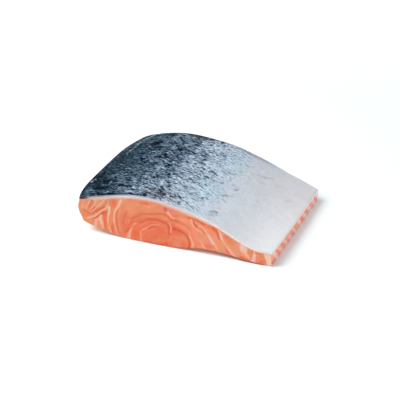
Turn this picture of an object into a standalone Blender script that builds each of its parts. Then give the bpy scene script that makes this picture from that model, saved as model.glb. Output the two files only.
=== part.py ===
"""Skin-on salmon fillet, cut square across at both ends and lying skin side up.

The origin is the centre of the foot of the bounding box. +X runs from the back
of the fish to its belly, +Y along the fish away from the nearer cut, +Z up.
"""
from math import cos, exp, hypot, pi, sin, sqrt

import bmesh
import bpy
from mathutils import Matrix, Vector

# Main sizes in millimetres
MM = 0.001
LENGTH = 122.5
BELLY_X = 85.0
BELLY_BOW = 0.6
BACK_EDGE_X_NEAR = -83.6
BACK_EDGE_X_FAR = -84.4
BACK_EDGE_BOW = 5.4
BACK_EDGE_SQUARENESS = 4
SKIN = 1.6
GAP = 0.3

# Outer face of the skin, back edge to belly edge: place across the fillet and height at each cut
NEAR_CROWN = ((-83.6, 30.6), (-72, 33.3), (-56, 37.4), (-40, 40.9), (-24.4, 42.4), (-10, 41.7), (6, 38.8),
              (24, 33.7), (38, 28.5), (51.5, 21.7), (62, 16.9), (73, 13.9), (85, 13.3))
FAR_CROWN = ((-84.4, 27.4), (-75.6, 33.7), (-64, 38.2), (-50, 41.5), (-36, 43.3), (-22, 43.0), (-4, 41.1),
             (10, 39.0), (26, 34.3), (43, 28.1), (59, 21.0), (72, 15.8), (85, 10.6))
SWELL = 0.7
SWELL_REACH = 1.3

# Side of the back: foot of the side, how far it leans in, and its round
BACK_FOOT_HEIGHT = 8.4
BACK_FOOT_INSET = 3.8
BACK_ROUND = 3.4
LIFT_START_X = -34.0

# Shallow arch of the foot at the near cut: middle, half width, height, and how far it runs inwards
FOOT_ARCH = (32.0, 34.0, 2.6)
FOOT_ARCH_REACH = 30.0

# Soft swelling of both cut faces: middle of each swelling, half width, depth
LOIN_BULGE = (-16.0, 30.0, 0.8)
FLANK_BULGE = (70.0, 12.0, 0.6)

# Grooves between the flakes on the cut faces, which are nested round three axes
GROOVE = 0.5
FLAKE_PITCH = 9.0
SEAM_ROUND = 0.12
FAN_SEAM_ROUND = 0.35

LOIN_AXIS = (-16.0, 4.0)
LOIN_RINGS = (0, 13.5, 19.5, 24.5, 30.0, 36.0, 41.0, 46.5, 53.0, 59.0, 65.0, 71.0)
LOIN_SQUASH = 0.92
LOIN_LEAN = 0.3
LOIN_LEAN_RADII = (18.0, 34.0)

BELLY_AXIS = (4.0, 3.0)
BELLY_RINGS = (0, 13.0, 22.5, 33.0, 46.5, 60.5, 72.0, 84.0, 96.0)
BELLY_SHEAR = 0.75
BELLY_SHEAR_REACH = (8.0, 40.0)
BELLY_FLATTENING = 0.85
BELLY_FLATTENING_REACH = (8.0, 44.0)

FAN_AXIS = (-84.0, 35.6)
FAN_FIRST_RING = 2.6
FAN_STRETCH = 1.35
FAN_PITCH = 4.4

# Cells of the solids
CELLS_ACROSS = 72
CELLS_ALONG = 12
CELLS_HIGH = 12
SLOPE_STEP = 0.01
SHARP_ANGLE = 0.6

FLESH_COLOUR = (0.83, 0.25, 0.12)
FLESH_ROUGHNESS = 0.4
SKIN_COLOUR = (0.35, 0.42, 0.46)
SKIN_ROUGHNESS = 0.3


def clear_scene():
    """Removes every object of the open scene."""
    for item in list(bpy.data.objects):
        bpy.data.objects.remove(item, do_unlink=True)


def smooth_step(low, high, value):
    """0 below low, 1 above high, smooth between."""
    share = min(max((value - low) / (high - low), 0.0), 1.0)
    return share * share * (3.0 - 2.0 * share)


def soft_min(a, b, width):
    """The smaller of two values with their meeting rounded."""
    share = min(max(0.5 + 0.5 * (b - a) / width, 0.0), 1.0)
    return b + (a - b) * share - width * share * (1.0 - share)


def curve_through(points, place):
    """Height at a place on a smooth curve through the points."""
    last = len(points) - 1
    index = 0
    while index < last - 1 and place > points[index + 1][0]:
        index += 1
    x0, z0 = points[index]
    x1, z1 = points[index + 1]
    before = points[max(index - 1, 0)]
    after = points[min(index + 2, last)]
    slope0 = (z1 - before[1]) / (x1 - before[0])
    slope1 = (after[1] - z0) / (after[0] - x0)
    step = x1 - x0
    t = (place - x0) / step
    level = z0 * (1 + 2 * t) * (1 - t) ** 2 + z1 * t * t * (3 - 2 * t)
    return level + step * (slope0 * t * (1 - t) ** 2 - slope1 * t * t * (1 - t))


def back_edge(side):
    """Place of the back edge of the skin, side -1 at the near cut and 1 at the far cut."""
    middle = (BACK_EDGE_X_NEAR + BACK_EDGE_X_FAR) / 2
    bow = BACK_EDGE_BOW * (1 - side ** BACK_EDGE_SQUARENESS)
    return middle + side * (BACK_EDGE_X_FAR - BACK_EDGE_X_NEAR) / 2 - bow


def belly_edge(side):
    """Place of the belly edge."""
    return BELLY_X + BELLY_BOW * (1 - side * side)


def crown(across, side):
    """Height of the skin's outer face, across 0 at the back edge and 1 at the belly edge."""
    blend = (side + 1) / 2
    heights = []
    for stations in (NEAR_CROWN, FAR_CROWN):
        first = stations[0][0]
        heights.append(curve_through(stations, first + across * (stations[-1][0] - first)))
    swell = SWELL * (1 - side * side) * sin(pi * min(across * SWELL_REACH, 1.0))
    return heights[0] * (1 - blend) + heights[1] * blend + swell


def crown_below(across, side, depth):
    """Height of the face that lies a depth under the skin's outer face, square to it."""
    width = belly_edge(side) - back_edge(side)
    low = max(across - SLOPE_STEP, 0.0)
    high = min(across + SLOPE_STEP, 1.0)
    slope = (crown(high, side) - crown(low, side)) / ((high - low) * width)
    return crown(across, side) - depth * sqrt(1 + slope * slope)


def foot(x, side):
    """Height of the underside, flat but for the lift towards the back and the arch at the near cut."""
    run = max(LIFT_START_X - x, 0.0) / (LIFT_START_X - BACK_EDGE_X_NEAR - BACK_FOOT_INSET)
    middle, half_width, height = FOOT_ARCH
    inwards = (side + 1) * LENGTH / 2
    arch = height * max(1 - ((x - middle) / half_width) ** 2, 0.0) ** 2
    arch *= 1 - smooth_step(0.0, FOOT_ARCH_REACH, inwards)
    return BACK_FOOT_HEIGHT * run * run + arch


def loin_phase(x, z):
    """Rings of the upper muscle, leaning over towards the belly further out."""
    across = x - LOIN_AXIS[0]
    up = z - LOIN_AXIS[1]
    lean = LOIN_LEAN * smooth_step(*LOIN_LEAN_RADII, hypot(across, up)) * up
    return ring_count(LOIN_RINGS, hypot(across - lean, LOIN_SQUASH * up))


def belly_phase(x, z):
    """Rings of the lower muscle, drawn out into slanting lines towards the belly."""
    across = x - BELLY_AXIS[0]
    up = z - BELLY_AXIS[1]
    shear = BELLY_SHEAR * smooth_step(*BELLY_SHEAR_REACH, across)
    height = 1.0 - BELLY_FLATTENING * smooth_step(*BELLY_FLATTENING_REACH, across)
    return ring_count(BELLY_RINGS, hypot(across + shear * up, height * up))


def flake_phase(x, z):
    """Counts the flakes outward from the axes of the two muscles and the fan of the back."""
    fan = FAN_FIRST_RING + hypot((x - FAN_AXIS[0]) / FAN_STRETCH, z - FAN_AXIS[1]) / FAN_PITCH
    main = soft_min(loin_phase(x, z), belly_phase(x, z), SEAM_ROUND)
    return soft_min(fan, main, FAN_SEAM_ROUND)


def ring_count(rings, radius):
    """Number of the ring at a radius, with its share of the step to the next."""
    index = 0
    while index < len(rings) - 2 and radius > rings[index + 1]:
        index += 1
    return index + (radius - rings[index]) / (rings[index + 1] - rings[index])


def cut_face_offset(x, z, end):
    """Swelling of a cut face and depth of its groove; end 0 is the near cut, 1 the far cut."""
    swelling = 0.0
    for middle, half_width, depth in (LOIN_BULGE, FLANK_BULGE):
        swelling += depth * exp(-((x - middle) / half_width) ** 2)
    phase = flake_phase(x, z) + end * LENGTH / FLAKE_PITCH
    groove = (0.5 + 0.5 * cos(2 * pi * phase)) ** 2
    return swelling, GROOVE * groove


def block(cells_x, cells_y, cells_z):
    """A closed cube from 0 to 1 on each axis, cut into cells."""
    mesh = bmesh.new()
    bmesh.ops.create_cube(mesh, size=1.0, matrix=Matrix.Translation((0.5, 0.5, 0.5)))
    for axis, cells in enumerate((cells_x, cells_y, cells_z)):
        along = [e for e in mesh.edges if abs((e.verts[1].co - e.verts[0].co)[axis]) > 0.5]
        if cells > 1:
            bmesh.ops.subdivide_edges(mesh, edges=along, cuts=cells - 1, use_grid_fill=True)
    return mesh


def flesh_place(across, along, high):
    """Place of a point of the flesh from its shares across, along and up."""
    side = 2 * along - 1
    left = back_edge(side) + BACK_FOOT_INSET * (1 - high) - BACK_ROUND * sin(pi * high)
    x = left + across * (belly_edge(side) - left)
    top = crown_below(across, side, SKIN + GAP)
    low = foot(x, side)
    z = low + (top - low) * high
    swelling, groove = cut_face_offset(x, z, along)
    if along in (0.0, 1.0):
        swelling -= groove
    y = side * (LENGTH / 2 + swelling)
    return Vector((x, y, z)) * MM


def skin_place(across, along, high):
    """Place of a point of the skin from its shares across, along and up."""
    side = 2 * along - 1
    left = back_edge(side)
    x = left + across * (belly_edge(side) - left)
    z = crown_below(across, side, SKIN * (1 - high))
    swelling = cut_face_offset(x, z, along)[0]
    return Vector((x, side * (LENGTH / 2 + swelling), z)) * MM


def shaped(mesh, place):
    """Moves each vertex of the cube of cells to its place."""
    for vertex in mesh.verts:
        vertex.co = place(*vertex.co)
    return mesh


def finish(name, mesh, shift, colour, roughness):
    """Makes the named object with its own material."""
    bmesh.ops.translate(mesh, verts=mesh.verts, vec=shift)
    for edge in mesh.edges:
        edge.smooth = edge.calc_face_angle(0.0) < SHARP_ANGLE
    for face in mesh.faces:
        face.smooth = True
    data = bpy.data.meshes.new(name)
    mesh.to_mesh(data)
    mesh.free()
    material = bpy.data.materials.new(name)
    material.use_nodes = True
    shader = material.node_tree.nodes["Principled BSDF"]
    shader.inputs["Base Color"].default_value = (*colour, 1.0)
    shader.inputs["Roughness"].default_value = roughness
    data.materials.append(material)
    item = bpy.data.objects.new(name, data)
    bpy.context.scene.collection.objects.link(item)


def centre_shift(meshes):
    """The move that brings the centre of the foot of the bounding box to the origin."""
    points = [vertex.co for mesh in meshes for vertex in mesh.verts]
    low = [min(point[axis] for point in points) for axis in range(3)]
    high = [max(point[axis] for point in points) for axis in range(3)]
    return Vector((-(low[0] + high[0]) / 2, -(low[1] + high[1]) / 2, -low[2]))


def main():
    clear_scene()
    flesh = shaped(block(CELLS_ACROSS, CELLS_ALONG, CELLS_HIGH), flesh_place)
    skin = shaped(block(CELLS_ACROSS, CELLS_ALONG, 1), skin_place)
    shift = centre_shift((flesh, skin))
    finish("flesh", flesh, shift, FLESH_COLOUR, FLESH_ROUGHNESS)
    finish("skin", skin, shift, SKIN_COLOUR, SKIN_ROUGHNESS)


main()
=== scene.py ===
"""Looks of a skin-on salmon fillet: wet scaled skin above, raw flaky flesh at the cuts."""

from math import cos, pi, radians, sin

import bmesh
import bpy
import numpy as np
from mathutils import Matrix, Vector, noise


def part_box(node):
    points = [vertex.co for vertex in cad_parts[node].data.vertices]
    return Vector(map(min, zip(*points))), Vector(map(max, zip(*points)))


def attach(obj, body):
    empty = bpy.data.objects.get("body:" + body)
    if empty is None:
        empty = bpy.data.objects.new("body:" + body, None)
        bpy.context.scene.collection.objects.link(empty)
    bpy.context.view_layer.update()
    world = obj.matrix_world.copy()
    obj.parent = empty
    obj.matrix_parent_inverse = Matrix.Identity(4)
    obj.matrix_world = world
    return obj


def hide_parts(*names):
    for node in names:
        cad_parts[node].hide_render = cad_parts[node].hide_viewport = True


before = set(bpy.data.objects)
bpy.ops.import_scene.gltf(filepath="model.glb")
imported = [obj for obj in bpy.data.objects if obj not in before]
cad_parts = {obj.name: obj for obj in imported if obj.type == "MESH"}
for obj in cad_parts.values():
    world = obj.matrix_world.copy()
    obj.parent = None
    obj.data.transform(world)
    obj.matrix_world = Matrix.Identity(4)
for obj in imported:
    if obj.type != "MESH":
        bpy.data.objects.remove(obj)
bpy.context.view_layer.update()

# Sizes in millimetres, as the solids have them
MM = 0.001
LENGTH = 122.5
BELLY_X = 85.0
BELLY_BOW = 0.6
HALF_WIDTH = 88.0
BACK_EDGE_X_NEAR = -83.6
BACK_EDGE_X_FAR = -84.4
BACK_EDGE_BOW = 5.4
BACK_EDGE_SQUARENESS = 4
SKIN = 1.6
NEAR_CROWN = ((-83.6, 30.6), (-72, 33.3), (-56, 37.4), (-40, 40.9), (-24.4, 42.4), (-10, 41.7), (6, 38.8),
              (24, 33.7), (38, 28.5), (51.5, 21.7), (62, 16.9), (73, 13.9), (85, 13.3))
FAR_CROWN = ((-84.4, 27.4), (-75.6, 33.7), (-64, 38.2), (-50, 41.5), (-36, 43.3), (-22, 43.0), (-4, 41.1),
             (10, 39.0), (26, 34.3), (43, 28.1), (59, 21.0), (72, 15.8), (85, 10.6))
SWELL = 0.7
SWELL_REACH = 1.3
BACK_FOOT_HEIGHT = 8.4
BACK_FOOT_INSET = 3.8
BACK_ROUND = 3.4
LIFT_START_X = -34.0
FOOT_ARCH = (32.0, 34.0, 2.6)
FOOT_ARCH_REACH = 30.0
LOIN_BULGE = (-16.0, 30.0, 0.8)
FLANK_BULGE = (70.0, 12.0, 0.6)
SLOPE_STEP = 0.01
SHIFT_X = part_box("flesh")[1][0] / MM - BELLY_X - BELLY_BOW

# Flakes, nested round three axes
FLAKE_PITCH = 12.746
SEAM_ROUND = 0.12
FAN_SEAM_ROUND = 0.35
LOIN_AXIS = (-16.0, 4.0)
LOIN_RINGS = (0, 13.5, 19.5, 24.5, 30.0, 36.0, 41.0, 46.5, 53.0, 59.0, 65.0, 71.0)
LOIN_SQUASH = 0.92
LOIN_LEAN = 0.3
LOIN_LEAN_RADII = (18.0, 34.0)
BELLY_AXIS = (4.0, 3.0)
BELLY_RINGS = (0, 13.0, 22.5, 33.0, 46.5, 60.5, 72.0, 84.0, 96.0)
BELLY_SHEAR = 0.75
BELLY_SHEAR_REACH = (8.0, 40.0)
BELLY_FLATTENING = 0.85
BELLY_FLATTENING_REACH = (8.0, 44.0)
FAN_AXIS = (-84.0, 35.6)
FAN_FIRST_RING = 2.6
FAN_STRETCH = 1.35
FAN_PITCH = 4.4

# Strokes on the flesh, by mark: their softness, those of the near cut, then those of the belly's side.
# A stroke has a strength, a width at each end, then its points: across the fish, or along it, and up
STROKES = {
    # Pale seams between the flakes
    "pale": (0.45, (
        (0.55, 1.4, 1.2, -80.8, 29.8, -80.6, 26, -81.6, 21.6),
        (0.6, 1.6, 1.5, -74, 31.2, -75, 27.8, -76.6, 25, -78.2, 21.5),
        (0.7, 1.4, 1, -68, 32, -69.8, 26.9, -72, 23.7, -74.2, 20),
        (0.75, 1.5, 1.1, -60.4, 33.4, -63, 29.6, -65.3, 27.4, -68, 24.6, -69.8, 22.4, -73.2, 18.7),
        (0.45, 1.2, 1.2, -57.2, 32.5, -58, 28),
        (0.95, 1.5, 1.4, -57.9, 28.4, -59, 25.6, -61.2, 23.7, -64, 21.5, -66.2, 19.2, -68.5, 17.4,
         -70.3, 15.5, -74.4, 14, -76.8, 12.2),
        (0.8, 1.4, 2.2, -64, 17.6, -64.8, 14.2, -63.7, 11.5, -63.2, 6),
        (0.85, 1.4, 3, -64.8, 16.4, -67, 13.8, -69, 11.5, -70.2, 5.8),
        (0.95, 1.9, 1.3, -56.8, 26.6, -57, 22.4, -57.8, 18.7, -58.3, 14.2, -57.6, 9.6, -56.6, 6, -55.2, 2.6),
        (0.95, 2.4, 1.1, -46, 35.5, -48.3, 29.2, -50.7, 25.5, -51.9, 21.9, -52.5, 17.8, -52.5, 14.2,
         -52, 10.5, -51.2, 7.4, -49.6, 2.6),
        (0.3, 1.6, 1.2, -46.6, 26.5, -48, 20.5, -47.8, 14.2, -46.6, 6),
        (0.85, 0.9, 3.6, -36.6, 11.4, -37.8, 8.6, -39, 5.6, -40, 1.2),
        (0.85, 1, 1, -35, 14.6, -33.8, 15.5, -32.7, 16.4),
        (0.62, 1.2, 1.3, -28.3, 1.6, -28.6, 6, -28.3, 9.4, -26.4, 11.8, -23.9, 13.3, -22.3, 15),
        (0.45, 1.1, 1, -22.5, 14.6, -20.7, 16.5, -18.5, 17.8, -15.7, 18.7, -12.2, 19.3),
        (0.28, 1.2, 0.9, -20.7, 12.2, -18.5, 13.7, -15.2, 14.7),
        (0.9, 2.2, 1.3, -4.3, 32.3, -2.6, 30, -0.8, 28.3, 1.2, 27.4),
        (0.65, 0.9, 1.6, -3.2, 23, -2.3, 20.6, -1.6, 18.7, -2, 14.6),
        (0.9, 1.2, 1.9, 14.6, 13.6, 15.8, 11.4, 16.8, 8.6, 17.1, 6.4, 16.5, 2.8),
        (0.28, 2, 1.8, 7.5, 20.4, 11, 19, 13.4, 17, 14.8, 14.6),
        (0.68, 2.2, 1.2, 15.9, 29.2, 16.4, 26.5, 17.8, 23.6, 20, 21.9, 23.3, 20.5, 25.2, 18.2),
        (0.85, 1.3, 2.1, 22.6, 25, 25, 23.7, 27.8, 21.9, 29.6, 19.2, 31.9, 16.5, 34.2, 12.8, 36.5, 9.6,
         38.7, 6, 39.4, 3.6),
        (0.75, 1.1, 1.6, 23.2, 11.8, 25, 9.2, 26, 6.9, 28, 4.4),
        (0.85, 1.8, 2.6, 39.8, 24.4, 41, 20.8, 42.2, 17, 43.9, 13.6, 47, 10, 49.8, 7, 52.5, 4.3, 54.4, 2.2),
        (0.95, 6.4, 1.4, 60.6, 14.6, 61, 11.5, 61.8, 8.8, 64.4, 6.1, 66.4, 3.6),
        (0.85, 1.6, 2.8, 70, 11.6, 70.2, 7, 69.8, 2.6), (0.95, 6, 3.8, 80.6, 11.8, 81.6, 6.4, 83, 1.4),
        (0.7, 2.6, 3, -84.8, 28.5, -86.2, 23, -85.6, 17.5, -83, 12)
    ), (
        (0.85, 4, 3, -58, 12, -54, 8, -50.5, 5, -47, 0.8),
        (0.55, 1.2, 2.8, -50, 12, -46.6, 9.6, -42, 6.6, -38.5, 4, -35, 0.8),
        (0.6, 2.2, 2, -36, 12, -32.6, 9, -29.6, 7, -26, 4.4, -22.4, 1.4),
        (0.55, 1, 1.8, -20.6, 7.6, -17.5, 5, -14, 3, -11.4, 0.4),
        (0.6, 2.2, 2, -16.4, 12.4, -12.6, 10, -8, 7, -4, 4.2, 0, 1),
        (0.95, 3.6, 3.2, 3, 12, 6, 8, 9, 5, 13, 0.8),
        (0.8, 2.8, 2.2, 14, 12, 18, 9, 22, 6, 25, 3.5, 28, 0.8),
        (0.75, 4.2, 3.6, 30, 12, 33, 8.4, 36.4, 4.8, 40, 0.8),
        (0.8, 2.4, 2.6, 43, 12, 46, 8, 48.4, 5, 52, 1), (0.85, 3, 2.4, 55.6, 11, 58.8, 6.6, 62, 2))),
    # Milky stretches of the seams
    "milk": (0.6, (
        (0.8, 1.7, 0.8, -56.8, 26.2, -57, 22.4, -57.6, 18.6),
        (0.62, 1.4, 2.4, -64, 17.4, -64.8, 14.2, -64.4, 10), (0.6, 1.2, 1, -46.4, 34.4, -48.4, 29.4),
        (0.7, 1.8, 2.4, 30.8, 17.6, 32.6, 14.2, 34.8, 11), (0.8, 1.4, 1.8, 41, 20.6, 42.3, 17),
        (0.9, 4.4, 2.6, 60, 14.2, 59.4, 10), (0.45, 3.4, 2.4, 63.2, 13.6, 63.2, 10),
        (0.95, 5, 3.4, 81, 11.6, 82, 5.8, 82.8, 2), (0.75, 2.4, 3.4, 70.2, 8, 69.8, 5, 69.6, 2.6)
    ), (
        (0.5, 1.6, 1.4, -57, 11, -54, 7.6), (0.45, 2, 1.6, 3.6, 11, 6.4, 7.6, 8.8, 4.8),
        (0.6, 1.2, 0.8, -16.4, 11.4, -12.8, 9.6))),
    # Deep brownish orange colour beside the seams, partly painted shade where the flakes part
    "deep": (0.8, (
        (0.55, 2.2, 1.2, -72, 28.6, -73.6, 25.4, -75.2, 22.6),
        (0.75, 1.4, 1.4, -69.2, 25, -70.6, 23.2, -72.8, 20.6),
        (0.85, 1.5, 1.4, -61.2, 26, -64.4, 23.7, -68, 21.5, -71.6, 18.4),
        (0.85, 2, 1.5, -59.6, 21.6, -62.2, 20.2, -65.3, 17.8, -68, 15, -70.6, 13),
        (0.7, 1.2, 1.6, -36.5, 19.4, -33, 22.4, -29.8, 24.2, -27, 26, -23, 27.1, -19.8, 27.6, -16.2, 28.5,
         -12, 29.4, -9.4, 30, -6.2, 29.7, -3.5, 27.6, -1, 26.3, 2, 26.3, 5.5, 25.6),
        (0.85, 1.6, 2.2, -29.2, 18, -26.2, 20, -23.5, 21.5, -21.2, 22.8, -18, 23.3, -14.4, 23.7, -11.6, 23.5,
         -8.5, 22.6, -5.7, 21.5, -3.7, 20, -2.7, 17.4, -3.2, 13),
        (0.65, 1.5, 1, -21.6, 13.4, -19.8, 15.2, -17.6, 16.5, -14.2, 16.9),
        (0.7, 1.4, 1.8, -42.2, 6.2, -41, 7.6, -39.4, 10.2),
        (0.95, 1.4, 1.8, 1, 18.4, 4.2, 17.9, 7.4, 16.9, 9.6, 15.5, 11.9, 13.7, 13.6, 11.3, 14.4, 8.7,
         14.4, 5.4, 13.6, 2.2),
        (0.45, 1.2, 1.4, 6.5, 23.9, 11, 22.9, 14.4, 21.3, 16, 19),
        (0.8, 1.2, 2.2, 17.4, 29, 18.7, 26.2, 20.6, 23.3), (0.8, 1.2, 1, 23.6, 23, 26, 21, 28, 18.4),
        (0.85, 1.4, 2.6, 13.3, 31, 19, 30.2, 25, 28.8),
        (0.9, 3, 1.4, 35, 24.8, 37.4, 23.2, 38.8, 20, 40.2, 16.4),
        (0.5, 1, 2.4, 44.6, 12.6, 46.2, 8.4, 48, 5), (0.7, 1.6, 1.4, 58.4, 2.6, 63, 2.4, 66, 2.2),
        (0.5, 1.6, 1.4, -9.5, 1.6, -5, 1.9), (0.8, 3, 2.2, -6.4, 35.4, -6, 33),
        (0.6, 1.2, 1.4, -80.4, 21, -77.6, 18.4, -74.6, 17),
        (0.6, 1.4, 1.2, -73.4, 17.2, -70, 19.4, -66.4, 22),
        (0.6, 1.4, 1.2, -60.6, 7.4, -60.8, 14, -61.4, 19), (0.55, 1.6, 1.4, -54.4, 3.4, -53.6, 10),
        (0.5, 1.2, 1.4, -49.4, 24.4, -50.4, 18, -50, 10, -48.6, 4),
        (0.45, 1.4, 1.8, -44, 14, -43.4, 20, -40.6, 25.4),
        (0.5, 1.6, 1.6, -39.8, 11, -38.4, 14.4, -35.6, 17.6), (0.45, 1, 1, -27, 9, -25, 11.2, -23, 12.6),
        (0.6, 1.4, 1.6, 14, 3, 24, 4, 36, 4, 48, 2.8, 58, 2), (0.5, 1.2, 1, 68.6, 11.6, 68.4, 6),
        (0.45, 1.4, 1.4, 78.6, 10.8, 79.8, 4), (0.6, 2, 2, -23.6, 37, -22, 36.2),
        (0.5, 1.4, 1.4, 1.6, 30.2, 3.6, 30)
    ), (
        (0.5, 3, 4, -60, 3.6, -54, 1.4), (0.5, 2, 2.6, -12.6, 8.4, -9.6, 5, -6.6, 1.2),
        (0.35, 2, 3, -23.4, 5, -18.4, 1.2), (0.3, 1.6, 2.4, 38, 9.6, 41, 6))),
    # Tan stretches
    "tan": (1.3, (
        (0.7, 3, 2.4, -78.4, 29.6, -79.6, 25, -80.4, 20),
        (0.75, 4, 5, -85.4, 27, -85, 20, -82.4, 14, -77, 10.8),
        (0.85, 3.6, 2.2, -63.4, 32.2, -66.6, 28.4, -70.4, 24.4),
        (0.6, 2.2, 2, -55.3, 30, -55.1, 20, -55.1, 10), (0.6, 2.4, 2.6, -67.2, 13.6, -67.4, 5.4),
        (0.5, 2, 1.6, -77.4, 12.8, -73.6, 14.8, -70.6, 16.4),
        (0.6, 3.4, 3.8, -40, 31, -34.6, 34, -29.6, 35.4), (0.6, 3.2, 2.4, -47.4, 36, -45.4, 33, -44.6, 28),
        (0.55, 1.8, 2.6, -40, 23.6, -34, 27.2, -28, 29.8, -20, 32, -11, 32.4),
        (0.45, 1.2, 1.4, -27.6, 24, -22, 26, -15, 27.4, -10.4, 27.6), (0.75, 3, 2.6, -16.4, 37.6, -16.2, 34),
        (0.5, 1.2, 1.4, -29.8, 12, -29.8, 3), (0.75, 2, 2.4, 8, 33.6, 16.5, 32, 22, 30.4),
        (0.6, 2, 1.4, 22.6, 28.4, 34, 26.6, 40.4, 23.8), (0.5, 2.4, 2.2, 22.4, 26.6, 22.5, 25.2),
        (0.6, 5, 6.4, 25.2, 17.6, 25, 11), (0.6, 1.6, 1.8, 18.4, 11, 18.6, 4.4),
        (0.5, 2, 2.2, -37.2, 7.4, -37.8, 2.2), (0.55, 3, 2.4, -17, 2.6, -12, 4.6, -7, 5),
        (0.55, 4, 5, 1, 5, 5, 8, 9.6, 10), (0.6, 5.4, 5, 50, 12.6, 56, 9.4),
        (0.6, 4, 4, 13.2, 26.6, 13.4, 24.4), (0.7, 2.4, 2, 66, 12.6, 66.2, 9.6),
        (0.6, 3.4, 3.2, 41.4, 9, 42.6, 6.4), (0.6, 1.6, 1.4, 66, 12, 66.4, 8)
    ), (
        (0.9, 4, 4.6, -62, 10.6, -60, 6.6, -57, 3), (0.9, 2.6, 3.4, -2.6, 9.6, 0.6, 7, 4, 4, 7.4, 1),
        (0.5, 1.6, 2, -25, 10.4, -21.6, 6.6, -18.6, 3))),
    # Dark red painted shadow along the foot of the near cut
    "dark": (0.9, (
        (0.5, 0.8, 1.4, -24, 1.2, -16, 0.7, -8, 0.8), (0.6, 0.6, 1.4, 2, 0.8, 8, 1.5, 14, 2.1),
        (0.95, 1.4, 1.6, 14, 2.1, 22, 2.9, 32, 3.4, 42, 3, 50, 2.2, 58, 1.3, 66, 0.8, 78, 0.6)), ()),
    # Rosy bands between the seams of the belly's side
    "flush": (1.0, (), (
        (0.9, 3, 4, -53.5, 12, -50, 9.4, -46, 6, -42.4, 2),
        (0.8, 2.4, 3.4, -41.4, 9.8, -37, 7.4, -33, 5, -29.4, 1.4),
        (0.5, 2.4, 2.8, -28, 8.8, -24.4, 6, -20.4, 2), (0.7, 1.8, 2.6, -17.6, 8.6, -14, 6.4, -10.6, 4),
        (0.6, 1.6, 2, -6.4, 9.6, -3.6, 7, 0.6, 3), (1, 3, 4.4, 8.4, 12, 11.6, 8, 14.6, 5, 19, 1.4),
        (0.9, 2.8, 3, 21.4, 9.4, 25.4, 7.4, 29, 5.4, 32, 2.6),
        (0.7, 2.8, 3.4, 35, 9.6, 38.4, 7, 42, 4, 46.4, 1),
        (0.9, 2.8, 3.6, 46.6, 10.4, 50, 8, 53.4, 5, 58, 1.4))),
    # Creamy streaks on the belly's side
    "cream": (0.8, (), (
        (0.8, 2, 1.4, -32, 11, -28.6, 7.6, -26, 5.4), (0.9, 2, 1.4, 17.6, 11, 20.8, 7.2, 23.6, 4),
        (0.5, 1.2, 1.4, -42.4, 10, -39.6, 6.6, -37, 3.6)))}

# Patches on the near cut, by mark: across, up, half width, half height, strength; then their core and rim
PATCHES = {
    "orange": (
        (-52.4, 31, 2.6, 4.4, 0.9), (-60.6, 12, 1.8, 6.4, 0.7), (-60.2, 19, 1.6, 2.4, 0.8),
        (-32.2, 7.5, 3.8, 5.6, 1), (-26.6, 36.5, 3.6, 1.3, 1), (19, 31, 7, 1.5, 0.6),
        (26, 28.6, 4, 1.6, 0.7), (32, 25.6, 4.6, 2.4, 0.9), (36.8, 24, 2.6, 2.8, 0.9),
        (49.6, 16, 5, 3.4, 0.9), (66.2, 9.4, 1.9, 3.2, 0.4), (74.8, 10.6, 3, 1.8, 1),
        (76.6, 7.6, 3.2, 3.4, 0.7), (-25.2, 1.6, 1.8, 0.8, 0.8), (-53.8, 9, 1.6, 4.4, 0.6),
        (-77.8, 15.4, 3.4, 2.8, 0.4), (-10, 30.6, 3, 1.2, 0.4), (60, 3.4, 4, 1.4, 0.7),
        (-29.6, 12.6, 4.4, 3.4, 0.6), (-40.6, 12, 3.4, 4.4, 0.5), (42.4, 17.4, 3.6, 3.4, 0.4),
        (30, 25.4, 4.4, 1.8, 0.5), (40, 13, 3, 4, 0.3), (9, 5.6, 4, 3, 0.5)),
    "red": (
        (1.4, 17.8, 2.2, 1.5, 1), (4.4, 16.8, 4.6, 2.2, 0.4), (-62, 20.4, 1.8, 1.1, 0.8),
        (-67.8, 20.8, 1.5, 1, 0.7), (26.8, 27.2, 2.8, 1, 0.8), (46, 19.6, 2.8, 2, 0.6),
        (76.8, 3.2, 2.6, 1.8, 0.6), (59.5, 4, 2.4, 1.4, 0.4), (-5.8, 3.2, 1.6, 2, 0.7),
        (31.6, 8, 4.4, 2.4, 0.5), (-59.5, 4.6, 2.5, 1.2, 0.5), (21.6, 8.4, 2.4, 3, 0.3),
        (-21, 13.6, 1.7, 1.2, 0.45), (-47, 4, 2.2, 1.6, 0.35), (0, 21, 4, 2, 0.25)),
    "pink": (
        (0.4, 34.6, 4.8, 2.6, 1), (46, 23, 2.8, 1.2, 0.8), (31.8, 12.4, 2.4, 3, 0.6),
        (46.6, 6.6, 2.8, 2.6, 0.8), (2.5, 3.6, 2.8, 1.8, 0.5), (-27.6, 1.4, 1.8, 0.8, 0.5),
        (-50.4, 18, 1.3, 9, 0.5), (67, 4, 2.4, 2, 0.6), (-9, 35.6, 5, 2.4, 0.5)),
    "bright": (
        (9.6, 27.8, 6, 2.2, 0.9), (-80.4, 22.2, 1.6, 2, 0.8), (15, 18.6, 2.4, 2, 0.6),
        (38.4, 14, 2.4, 3.6, 0.5), (-22, 34.4, 3.8, 1.2, 0.8), (-5, 31.4, 1.4, 1, 0.7),
        (7, 22, 5.6, 1.8, 0.5), (-38, 28, 5, 4, 0.35), (-5, 26, 3.4, 2, 0.5))}
PATCH_EDGE = (0.1, 1.5)

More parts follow.
